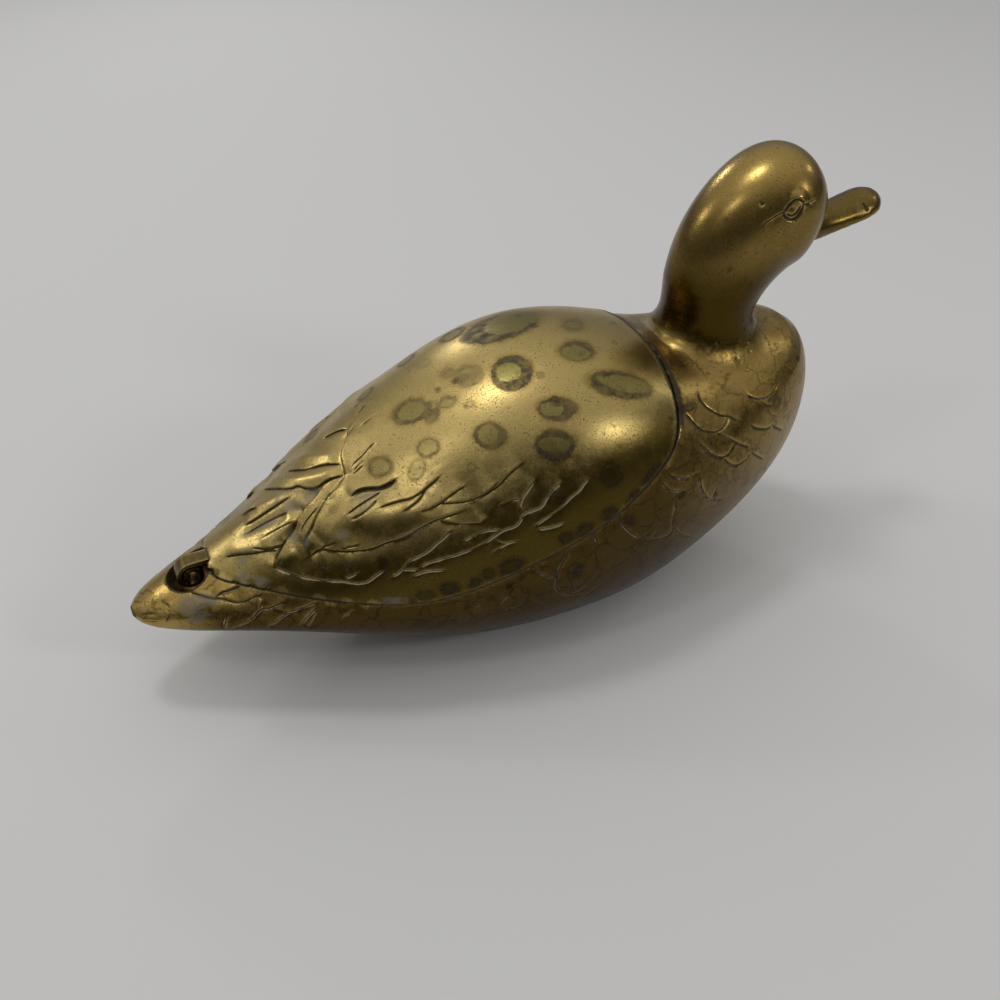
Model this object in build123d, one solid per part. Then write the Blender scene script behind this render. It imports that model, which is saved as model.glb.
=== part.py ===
import math
import os

from build123d import *

# A covered box in the shape of a mallard drake, cast in brass: the back lifts off as a lid.
# Millimetres. +X points to the bill, +Y to the duck's left, +Z up.
# The origin is on the table, under the middle of the whole length.

# Overall sizes
body_length = 305.0
body_width = 124.0
back_height = 124.0
bill_overhang = 29.0

# Casting thicknesses
bowl_wall = 4.0
lid_wall = 2.6
lid_proud = 1.2

# Lid seat: the gap under the lid, the slot behind the neck and the lip that keeps the lid in place
seat_gap = 0.6
neck_slot = 2.2
shoulder_depth = 9.0
lip_height = 4.0
lip_wall = 2.0
lip_gap = 0.5

# Head and neck
neck_setback = 49.0
neck_width = 42.0
head_rise = 50.0
neck_joint_lift = 4.0
bill_length = 48.0
bill_width = 22.0
bill_depth = 21.0
bill_drop = 9.5
eye_radius = 6.5
eye_proud = 0.25

# Joint between the head casting and the bowl casting
neck_wall = 7.0
spigot_wall = 4.0
spigot_length = 16.0
core_length = 36.0
braze_gap = 0.15
braze_size = 3.0

# Curled tail feather on the lid
curl_radius = 6.6
curl_strip = 1.8
curl_width = 6.5
curl_eye = 1.0
curl_turns = 1.45
curl_steps = 24
curl_root = 14.0
curl_sink = 2.0
mouth_rim = 3.5
tail_length = 25.5
lid_end_setback = 3.5

# Outer form of the body, from the tail to the breast. Each row: place along the body, half width,
# height of the widest line, of the back and of the keel, as shares of the sizes above, and fullness.
body_rows = [
    (0.000, 0.03, 0.330, 0.344, 0.316, 0.55),
    (0.012, 0.13, 0.333, 0.360, 0.296, 0.52),
    (0.043, 0.23, 0.338, 0.400, 0.265, 0.50),
    (0.082, 0.33, 0.342, 0.440, 0.250, 0.46),
    (0.141, 0.465, 0.347, 0.518, 0.236, 0.40),
    (0.262, 0.72, 0.362, 0.708, 0.160, 0.50),
    (0.403, 0.91, 0.385, 0.895, 0.020, 0.58),
    (0.544, 1.00, 0.419, 1.000, -0.018, 0.62),
    (0.682, 0.95, 0.465, 0.952, -0.018, 0.64),
    (0.787, 0.83, 0.515, 0.878, 0.055, 0.64),
    (0.892, 0.645, 0.565, 0.885, 0.185, 0.64),
    (0.964, 0.42, 0.615, 0.862, 0.345, 0.62),
    (0.989, 0.25, 0.630, 0.800, 0.450, 0.60),
    (1.000, 0.05, 0.640, 0.685, 0.595, 0.58),
]
keel_fullness = 0.62
hollow_rows = slice(4, 12)
under_curl = body_rows[3]
under_neck = body_rows[9]

# Seam between the lid and the bowl: place along the lid, from its tail end to its front, and height.
seam_rows = [
    (-0.03, 0.720),
    (0.00, 0.560),
    (0.02, 0.466),
    (0.07, 0.452),
    (0.17, 0.444),
    (0.29, 0.424),
    (0.41, 0.413),
    (0.54, 0.460),
    (0.66, 0.525),
    (0.78, 0.597),
    (0.88, 0.685),
    (0.94, 0.760),
    (0.97, 0.860),
    (1.00, 0.970),
]

# Neck and head along their spine, from inside the breast to the forehead. Each row: forward and rise
# from the neck joint as shares of the head's rise, half depth to the nape and to the throat, half
# width as shares of the neck's width, and the lean of the section in degrees.
neck_rows = [
    (0.02, -0.52, 0.66, 0.66, 0.64, 0.0),
    (-0.02, -0.12, 0.50, 0.46, 0.51, 0.0),
    (0.00, 0.24, 0.52, 0.46, 0.46, 8.0),
    (0.11, 0.60, 0.565, 0.62, 0.48, 25.0),
    (0.30, 0.86, 0.55, 0.68, 0.53, 50.0),
    (0.57, 0.99, 0.52, 0.66, 0.53, 80.0),
    (0.75, 0.93, 0.38, 0.46, 0.40, 95.0),
    (0.86, 0.88, 0.14, 0.17, 0.15, 100.0),
]
neck_fullness = 0.56
cheek = neck_rows[5]
brow = neck_rows[6]

# Bill, from inside the head to the tip: place along it, half width, depth above and below its
# middle line, and the rise of that line, as shares of the bill's sizes.
bill_rows = [
    (0.00, 0.46, 0.46, 0.32, -0.08),
    (0.36, 0.40, 0.34, 0.17, -0.15),
    (0.68, 0.41, 0.31, 0.10, -0.05),
    (0.90, 0.37, 0.29, 0.06, 0.05),
    (1.00, 0.18, 0.14, 0.05, 0.10),
]
bill_ridge = 0.48
bill_floor = 0.66
eye_place = (0.40, 1.105)

# Places worked out from the sizes
tail_x = -(body_length + bill_overhang) / 2
breast_x = tail_x + body_length
bill_tip_x = breast_x + bill_overhang
neck_x = breast_x - neck_setback
neck_joint_z = under_neck[3] * back_height + neck_joint_lift
spigot_radius = neck_width / 2 - neck_wall
core_radius = spigot_radius - spigot_wall
lid_tail_x = tail_x + tail_length
lid_front_x = neck_x - neck_width / 2 - shoulder_depth
reach = body_length


def oval(place, half_width, above, below, crown, keel):
    def quarter(side, end, fullness):
        points = [
            (side * half_width, 0, 0),
            (side * half_width, fullness * end, 0),
            (side * half_width * fullness, end, 0),
            (0, end, 0),
        ]
        return Bezier(*[place.from_local_coords(Vector(*point)) for point in points])

    edges = [quarter(1, above, crown), quarter(-1, above, crown)]
    edges += [quarter(-1, -below, keel), quarter(1, -below, keel)]
    return Wire(edges)


def upright(x, z):
    return Plane(origin=(x, 0, z), x_dir=(0, 1, 0), z_dir=(1, 0, 0))


def body_form(inset, rows=slice(None)):
    sections = []
    for along, wide, level, back, keel, crown in body_rows[rows]:
        middle = level * back_height
        above = back * back_height - middle - inset
        below = middle - keel * back_height - inset
        half_width = wide * body_width / 2 - inset
        place = upright(tail_x + along * body_length, middle)
        sections.append(oval(place, half_width, above, below, crown, keel_fullness))
    return Solid.make_loft(sections)


def above_seam(back_shift, lift):
    span = lid_front_x - lid_tail_x
    points = []
    for along, height in seam_rows:
        points.append((lid_tail_x + along * (span - back_shift), 0, height * back_height + lift))
    seam = Spline(*points)
    roof_z = points[-1][2] + head_rise
    roof = Polyline(points[-1], (points[-1][0], 0, roof_z), (points[0][0], 0, roof_z), points[0])
    face = Face(Wire([seam] + list(roof.edges())))
    return extrude(face, amount=body_width, both=True)


def ahead_of_tail(clearance):
    hollow_x = tail_x + body_rows[hollow_rows][0][0] * body_length
    return Pos(hollow_x + clearance + reach / 2, 0, 0) * Box(reach, reach, reach)


def tabletop():
    return Pos(0, 0, reach / 2) * Box(2 * reach, 2 * reach, reach)


def neck_form():
    sections = []
    for forward, rise, nape, throat, wide, lean in neck_rows:
        tilt = math.radians(lean)
        place = Plane(
            origin=(neck_x + forward * head_rise, 0, neck_joint_z + rise * head_rise),
            x_dir=(0, 1, 0),
            z_dir=(math.sin(tilt), 0, math.cos(tilt)),
        )
        depths = (nape * neck_width, throat * neck_width)
        sections.append(oval(place, wide * neck_width, *depths, neck_fullness, neck_fullness))
    return Solid.make_loft(sections)


def bill_form():
    root_z = neck_joint_z + brow[1] * head_rise - bill_drop
    sections = []
    for along, wide, above, below, rise in bill_rows:
        place = upright(bill_tip_x - (1 - along) * bill_length, root_z + rise * bill_depth)
        depths = (above * bill_depth, below * bill_depth)
        sections.append(oval(place, wide * bill_width, *depths, bill_ridge, bill_floor))
    return Solid.make_loft(sections)


def above_neck_joint():
    return Pos(neck_x, 0, neck_joint_z + reach / 2) * Box(reach, reach, reach)


def neck_cylinder(radius, low, high):
    height = high - low
    return Pos(neck_x, 0, neck_joint_z + (low + high) / 2) * Cylinder(radius, height)


def eyes():
    forward, rise = eye_place
    half_width = cheek[4] * neck_width
    sink = half_width + eye_proud - eye_radius
    place = Pos(neck_x + forward * head_rise, 0, neck_joint_z + rise * head_rise)
    return [place * Pos(0, side * sink, 0) * Sphere(eye_radius) for side in (-1, 1)]


def make_lip():
    # A ledge under the rim joins the lip to the wall, whatever the two thicknesses are.
    lip_out = lid_wall + lip_gap
    inside = body_form(lip_out + lip_wall, hollow_rows)
    under_rim = above_seam(0, -lip_height)
    ledge = (body_form(bowl_wall / 2, hollow_rows) - inside) & (under_rim - above_seam(0, 0))
    lip = (body_form(lip_out, hollow_rows) - inside) & (under_rim - above_seam(0, lip_height))
    return (ledge + lip) & ahead_of_tail(lip_gap)


def make_body_bowl():
    hollow = body_form(bowl_wall, hollow_rows)
    bowl = body_form(0) + (neck_form() - above_neck_joint()) - hollow
    bowl = bowl - above_seam(0, 0) + make_lip()
    bowl = bowl - neck_cylinder(spigot_radius + braze_gap, -spigot_length, neck_width)
    return (bowl - curl_mouth()) & tabletop()


def make_head_and_neck():
    head = (neck_form() & above_neck_joint()) + bill_form()
    for eye in eyes():
        head = head + eye
    head = head + neck_cylinder(spigot_radius, -spigot_length, 0)
    return head - neck_cylinder(core_radius, -spigot_length, core_length)


def make_neck_braze():
    inner = spigot_radius + braze_gap
    ring = neck_cylinder(inner + braze_size, -spigot_length, 0) - neck_cylinder(inner, -spigot_length, 0)
    return ring & body_form(bowl_wall, hollow_rows)


def curl_centre():
    return lid_tail_x, under_curl[3] * back_height - curl_sink


def curl_mouth():
    centre_x, centre_z = curl_centre()
    return Pos(centre_x, 0, centre_z) * Sphere(curl_radius + mouth_rim)


def make_tail_curl():
    centre_x, centre_z = curl_centre()

    pitch = (curl_radius - curl_strip - curl_eye) / curl_turns

    def spiral(offset):
        points = []
        for step in range(curl_steps + 1):
            turn = curl_turns * step / curl_steps
            angle = math.radians(90 + 360 * turn)
            radius = curl_radius - offset - pitch * turn
            points.append((centre_x + radius * math.cos(angle), 0, centre_z + radius * math.sin(angle)))
        return points

    outside = spiral(0)
    inside = spiral(curl_strip)
    root_top = (centre_x + curl_root, 0, outside[0][2])
    root_low = (centre_x + curl_root, 0, inside[0][2])
    edges = [
        Line(inside[0], root_low),
        Line(root_low, root_top),
        Line(root_top, outside[0]),
        Spline(*outside),
        Line(outside[-1], inside[-1]),
        Spline(*inside),
    ]
    return extrude(Face(Wire(edges)), amount=curl_width / 2, both=True)


def make_lid(curl):
    hollow = body_form(lid_wall, hollow_rows)
    lid = body_form(-lid_proud) & above_seam(neck_slot, seat_gap)
    behind = Pos(lid_tail_x + lid_end_setback - reach / 2, 0, 0) * Box(reach, reach, reach)
    return lid - hollow - curl_mouth() - behind - curl


os.makedirs("parts", exist_ok=True)
tail_curl = make_tail_curl()
parts = {
    "body_bowl": make_body_bowl(),
    "head_and_neck": make_head_and_neck(),
    "neck_braze": make_neck_braze(),
    "lid": make_lid(tail_curl),
    "tail_curl": tail_curl,
}
for name, shape in parts.items():
    export_step(shape, f"parts/{name}.step")
    print(name, round(shape.volume / 1000, 1), "cm3", len(shape.solids()), "solids")
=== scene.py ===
import math

import bmesh
import bpy
import numpy as np
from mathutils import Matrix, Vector
from mathutils.bvhtree import BVHTree
from mathutils.kdtree import KDTree


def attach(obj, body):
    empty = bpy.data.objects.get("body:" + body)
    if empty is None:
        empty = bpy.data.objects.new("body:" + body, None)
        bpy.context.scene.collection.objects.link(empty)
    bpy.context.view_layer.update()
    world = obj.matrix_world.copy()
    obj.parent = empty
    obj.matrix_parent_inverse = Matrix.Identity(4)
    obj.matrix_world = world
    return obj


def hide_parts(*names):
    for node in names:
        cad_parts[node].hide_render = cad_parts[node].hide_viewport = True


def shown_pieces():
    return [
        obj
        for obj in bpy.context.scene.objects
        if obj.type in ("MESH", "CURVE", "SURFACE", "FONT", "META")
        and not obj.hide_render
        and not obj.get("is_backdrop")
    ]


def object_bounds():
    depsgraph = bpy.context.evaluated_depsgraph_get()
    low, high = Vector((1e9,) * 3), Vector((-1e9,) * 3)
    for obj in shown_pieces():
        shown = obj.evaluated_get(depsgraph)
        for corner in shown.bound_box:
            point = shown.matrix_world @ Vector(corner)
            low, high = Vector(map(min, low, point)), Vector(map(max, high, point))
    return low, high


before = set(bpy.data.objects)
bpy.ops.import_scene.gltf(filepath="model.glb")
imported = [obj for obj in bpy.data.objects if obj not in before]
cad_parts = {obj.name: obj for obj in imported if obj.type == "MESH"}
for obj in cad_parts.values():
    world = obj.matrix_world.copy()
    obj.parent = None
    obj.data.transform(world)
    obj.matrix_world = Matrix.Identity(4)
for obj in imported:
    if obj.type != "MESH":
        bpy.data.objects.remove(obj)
cadLow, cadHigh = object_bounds()
mm = 0.001

# The photo's camera, fitted to the duck's outline. Feathers and spots are placed by its pixels.
photoView = dict(azimuth=-24, elevation=40, distance=0.455, target=(-0.007, 0.002, 0.042),
                 focalPixels=1025, pictureSize=1000, sensor=36, clipStart=0.01)
focal, pictureHalf = photoView["focalPixels"], photoView["pictureSize"] / 2
mmPerPixel = photoView["distance"] / focal / mm


def cameraAxes():
    turn, tilt = math.radians(photoView["azimuth"]), math.radians(photoView["elevation"])
    back = Vector((math.sin(turn) * math.cos(tilt), -math.cos(turn) * math.cos(tilt), math.sin(tilt)))
    right = Vector((math.cos(turn), math.sin(turn), 0))
    return Vector(photoView["target"]) + back * photoView["distance"], right, back.cross(right), back


eyePoint, eyeRight, eyeUp, eyeBack = cameraAxes()


def sightLine(pixel):
    across = (pixel[0] - pictureHalf) / focal
    down = (pixel[1] - pictureHalf) / focal
    return (eyeRight * across - eyeUp * down - eyeBack).normalized()


def makeCamera():
    data = bpy.data.cameras.new("photoCamera")
    data.sensor_width = photoView["sensor"]
    data.lens = focal / photoView["pictureSize"] * photoView["sensor"]
    data.clip_start = photoView["clipStart"]
    camera = bpy.data.objects.new("photoCamera", data)
    camera.location = eyePoint
    camera.rotation_euler = (-eyeBack).to_track_quat("-Z", "Y").to_euler()
    bpy.context.collection.objects.link(camera)
    bpy.context.scene.camera = camera


# Blanks: smooth, even copies of the castings, ready to be chased. nearRim and onRim are in voxels.

blanks = dict(merge=0.001 * mm, sharpAngle=math.radians(30), lineSpacing=0.2 * mm, firstFairing=3,
              pushBack=-0.53, nearRim=1.6, onRim=0.55)


def bmeshOf(*meshes):
    bm = bmesh.new()
    for mesh in meshes:
        bm.from_mesh(mesh)
    return bm


def treeOf(*meshes):
    bm = bmeshOf(*meshes)
    tree = BVHTree.FromBMesh(bm)
    bm.free()
    return tree


def nodeMeshes(*nodes):
    return [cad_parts[node].data for node in nodes]


def meshObject(name, bm):
    mesh = bpy.data.meshes.new(name)
    bm.to_mesh(mesh)
    bm.free()
    piece = bpy.data.objects.new(name, mesh)
    bpy.context.collection.objects.link(piece)
    return piece


def applyModifiers(piece):
    seen = piece.evaluated_get(bpy.context.evaluated_depsgraph_get())
    mesh = bpy.data.meshes.new_from_object(seen)
    piece.modifiers.clear()
    old, piece.data = piece.data, mesh
    bpy.data.meshes.remove(old)


def smoothVerts(bm, verts, repeats, factor=0.5):
    for _ in range(repeats):
        bmesh.ops.smooth_vert(bm, verts=verts, factor=factor, use_axis_x=True, use_axis_y=True,
                              use_axis_z=True)


def fairVerts(bm, verts, rounds):
    # Each round is pushed back out again, so thin forms such as the bill keep their size.
    for _ in range(rounds):
        smoothVerts(bm, verts, 1)
        smoothVerts(bm, verts, 1, blanks["pushBack"])


def pointTree(points):
    tree = KDTree(len(points))
    for index, point in enumerate(points):
        tree.insert(point, index)
    tree.balance()
    return tree


def distancesTo(tree, points):
    return np.array([tree.find(point)[2] for point in points])


def sharpLinePoints(bm, skipped):
    points = []
    for edge in bm.edges:
        if len(edge.link_faces) == 2 and edge.calc_face_angle() > blanks["sharpAngle"]:
            count = max(1, round(edge.calc_length() / blanks["lineSpacing"]))
            first, last = (vert.co for vert in edge.verts)
            steps = [first.lerp(last, step / count) for step in range(count + 1)]
            points += [point for point in steps if not skipped(point)]
    return points


def castBlank(name, nodes, settings, skipped=lambda point: False):
    bm = bmeshOf(*nodeMeshes(*nodes))
    bmesh.ops.remove_doubles(bm, verts=bm.verts, dist=blanks["merge"])
    linePoints = sharpLinePoints(bm, skipped)
    sharp = pointTree(linePoints)
    surface = BVHTree.FromBMesh(bm)
    piece = meshObject(name, bm)
    remesh = piece.modifiers.new("voxels", "REMESH")
    remesh.mode = "VOXEL"
    remesh.voxel_size = settings["voxel"]
    applyModifiers(piece)
    bm = bmeshOf(piece.data)
    fairVerts(bm, bm.verts[:], blanks["firstFairing"])
    sharpenRims(bm, linePoints, sharp, surface, settings["voxel"])
    free = [vert for vert in bm.verts if sharp.find(vert.co)[2] > settings["keepEdge"]]
    fairVerts(bm, free, settings["fairing"])
    bm.to_mesh(piece.data)
    bm.free()
    return piece, sharp


def sharpenRims(bm, linePoints, sharp, surface, voxel):
    # Points near a sharp line go back on the casting, and the nearest ones on the line itself.
    near = [vert for vert in bm.verts if sharp.find(vert.co)[2] < blanks["nearRim"] * voxel]
    for vert in near:
        vert.co = surface.find_nearest(vert.co)[0]
    nearTree = pointTree([vert.co for vert in near])
    nearest = {}
    for point in linePoints:
        _, index, away = nearTree.find(point)
        if away < min(voxel, nearest.get(index, (voxel,))[0]):
            nearest[index] = (away, point)
    onLine = set()
    for index, vert in enumerate(near):
        place, _, away = sharp.find(vert.co)
        if index in nearest or away < blanks["onRim"] * voxel:
            vert.co = nearest[index][1] if index in nearest else place
            onLine.add(vert)
    for face in bm.faces[:]:
        corners = face.verts[:]
        marked = [vert in onLine for vert in corners]
        if marked in ([True, False, True, False], [False, True, False, True]):
            start = marked.index(True)
            bmesh.utils.face_split(face, corners[start], corners[start + 2])
    for edge in bm.edges:
        if all(vert in onLine for vert in edge.verts) and len(edge.link_faces) == 2:
            edge.smooth = edge.calc_face_angle(0) < blanks["sharpAngle"]


def facesIn(place, normal, axisHeight):
    return normal.y * place.y + normal.z * (place.z - axisHeight) < 0


def thinPoints(piece, chosen, share):
    picked = [vert.index for vert in piece.data.vertices if chosen(vert.co, vert.normal)]
    group = piece.vertex_groups.new(name="thinned")
    group.add(picked, 1.0, "REPLACE")
    thin = piece.modifiers.new("thin", "DECIMATE")
    thin.vertex_group = group.name
    thin.vertex_group_factor = 1.0
    thin.ratio = 1 - (1 - share) * len(picked) / len(piece.data.vertices)
    applyModifiers(piece)
    piece.vertex_groups.clear()


# Chasing: strokes are traced on the photo, thrown on the blank and mirrored to the far side

farSide = np.array((1, -1, 1))
# The facings are cosines, the margins are in widths or reaches, and the ends are a share and a lead.
chasing = dict(cornerCut=0.25, unseenFacing=0.12, strokeFacing=0.1, spotFacing=0.02, fineSpacing=0.4,
               fineSmoothing=2, strokeMargin=2.6, dentMargin=3, featherEnds=(0.4, 0.2), ridgeEnds=(0.5, 0.3),
               ceiling=1.6 * mm, farOff=9.0)
# Two beats along a stroke, as of an unsteady hand, vary its depth and its place.
hand = dict(shortBeat=3.1 * mm, shortStart=700, longBeat=7.3 * mm, longStart=90, steady=0.80, unsteady=0.20,
            wander=0.18 * mm, backReach=0.55, edgeWidth=0.45 * mm, grooveShift=0.3, grooveWidth=1.25,
            grooveLeast=0.5, dustShift=1.5, dustLeast=0.4)
# Rays that feel for walls for the painted shade, spread evenly by the golden angle and leaning outward
shadeRays = dict(rays=16, turn=2.39996, start=0.25 * mm, lean=1.05, gain=1.7)
wearing = dict(rounds=4, kept=0.4, gain=2.5)


def cutter(strokes, dust=0.0, **sizes):
    # Sizes are in mm. Dust is how much pale dust the foot of the stroke holds.
    return dict(strokes=strokes, dust=dust, **{name: size * mm for name, size in sizes.items()})


def rounded(pixels):
    points = np.array(pixels, float)
    before, after, corner = points[:-1], points[1:], chasing["cornerCut"]
    cut = np.empty((2 * len(before), 2))
    cut[0::2] = before * (1 - corner) + after * corner
    cut[1::2] = before * corner + after * (1 - corner)
    return np.vstack([points[:1], cut, points[-1:]])


def thrown(tree, pixels):
    hits = [tree.ray_cast(eyePoint, sightLine(pixel)) for pixel in pixels]
    hits = [hit for hit in hits if hit[0] is not None]
    places = np.array([hit[0] for hit in hits]).reshape(-1, 3)
    facing = np.array([hit[1] for hit in hits]).reshape(-1, 3)
    return places, facing


def tracedLines(tree, strokes):
    lines = []
    for pixels in strokes:
        places, facing = thrown(tree, rounded(pixels) if len(pixels) > 1 else pixels)
        if len(places):
            lines.append((places, facing, 1))
            lines += unseenRuns(places * farSide, facing * farSide)
    return lines


def tracedCutters(tree, settings, *names):
    return [(settings[name], tracedLines(tree, settings[name]["strokes"])) for name in names]


def linesOf(traced):
    return [line for _, lines in traced for line in lines]


def unseenRuns(places, facing):
    # The far side repeats a stroke only where the photo doesn't show that side.
    toEye = np.array(eyePoint) - places
    unseen = (facing * toEye).sum(1) < chasing["unseenFacing"] * np.linalg.norm(toEye, axis=1)
    breaks = np.flatnonzero(np.diff(unseen.astype(int))) + 1
    runs = [run for run in np.split(np.arange(len(places)), breaks) if unseen[run[0]]]
    return [(places[run], facing[run], -1) for run in runs if len(run) > 1 or len(places) == 1]


def photoPixels(points, side):
    gap = points * np.array((1, side, 1)) - np.array(eyePoint)
    depth = -(gap @ np.array(eyeBack))
    across = pictureHalf + focal * (gap @ np.array(eyeRight)) / depth
    down = pictureHalf - focal * (gap @ np.array(eyeUp)) / depth
    return np.stack([across, down], 1), -gap / np.linalg.norm(gap, axis=1)[:, None]


def ovalEdge(pixels, place, size, turn):
    # Distance in mm from the rim of an oval drawn on the photo, less than 0 inside it
    angle = math.radians(turn)
    gap = pixels - np.array(place)
    along = gap[:, 0] * math.cos(angle) + gap[:, 1] * math.sin(angle)
    across = gap[:, 1] * math.cos(angle) - gap[:, 0] * math.sin(angle)
    return mmPerPixel * ((np.hypot(along / size[0], across / size[1]) - 1) * min(size))


def nearLine(points, normals, line, margin):
    places, facing, side = line
    low, high = places.min(0) - margin, places.max(0) + margin
    near = np.flatnonzero(((points > low) & (points < high)).all(1))
    near = near[normals[near] @ facing.mean(0) > chasing["strokeFacing"]]
    away, along, across = np.full(len(near), 1.0), np.zeros(len(near)), np.zeros(len(near))
    run = 0.0
    ends = places if len(places) > 1 else np.repeat(places, 2, axis=0)
    for start, end, up in zip(ends[:-1], ends[1:], facing):
        step = end - start
        length = float(np.linalg.norm(step))
        share = np.clip((points[near] - start) @ step / max(length * length, 1e-12), 0, 1)
        gap = points[near] - start - share[:, None] * step
        distance = np.linalg.norm(gap, axis=1)
        closer = distance < away
        away[closer] = distance[closer]
        along[closer] = run + share[closer] * length
        across[closer] = (gap[closer] @ np.cross(up, step)) * side / max(length, 1e-9)
        run += length
    close = away < margin
    return near[close], away[close], along[close], across[close], run


def softStep(value):
    value = np.clip(value, 0, 1)
    return value * value * (3 - 2 * value)


def bell(away, width):
    return np.exp(-(away / width) ** 2)


def footBell(beyond, across, width):
    return bell(np.sqrt(beyond + across ** 2), width)


def atLeast(least, value):
    return least + (1 - least) * value


def endsOf(along, run, taper, share, lead):
    # A stroke swells from both of its ends.
    fade = min(taper, share * run)
    return softStep((along + lead * fade) / fade) * softStep((run - along + lead * fade) / fade)


def lineTree(lines, spacing):
    places = []
    for line, _, _ in lines:
        places += list(line[:1])
        for start, end in zip(line[:-1], line[1:]):
            count = int(np.linalg.norm(end - start) / spacing) + 1
            places += [start + (end - start) * step / count for step in range(1, count + 1)]
    return pointTree(places)


def refine(piece, lines, reach):
    bm = bmeshOf(piece.data)
    tree = lineTree(lines, chasing["fineSpacing"] * reach)
    faces = [face for face in bm.faces if tree.find(face.calc_center_median())[2] < reach]
    edges = list({edge for face in faces for edge in face.edges})
    bmesh.ops.subdivide_edges(bm, edges=edges, cuts=1, use_grid_fill=True)
    bmesh.ops.triangulate(bm, faces=[face for face in bm.faces if len(face.verts) > 4])
    close = [vert for vert in bm.verts if tree.find(vert.co)[2] < reach]
    free = [vert for vert in close if all(edge.smooth for edge in vert.link_edges)]
    smoothVerts(bm, free, chasing["fineSmoothing"])
    bm.to_mesh(piece.data)
    bm.free()


def triangles(piece):
    return sum(len(face.vertices) - 2 for face in piece.data.polygons)


def vertexValues(mesh, name):
    values = np.empty(len(mesh.vertices) * 3, np.float32)
    mesh.vertices.foreach_get(name, values)
    return values.reshape(-1, 3)


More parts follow.
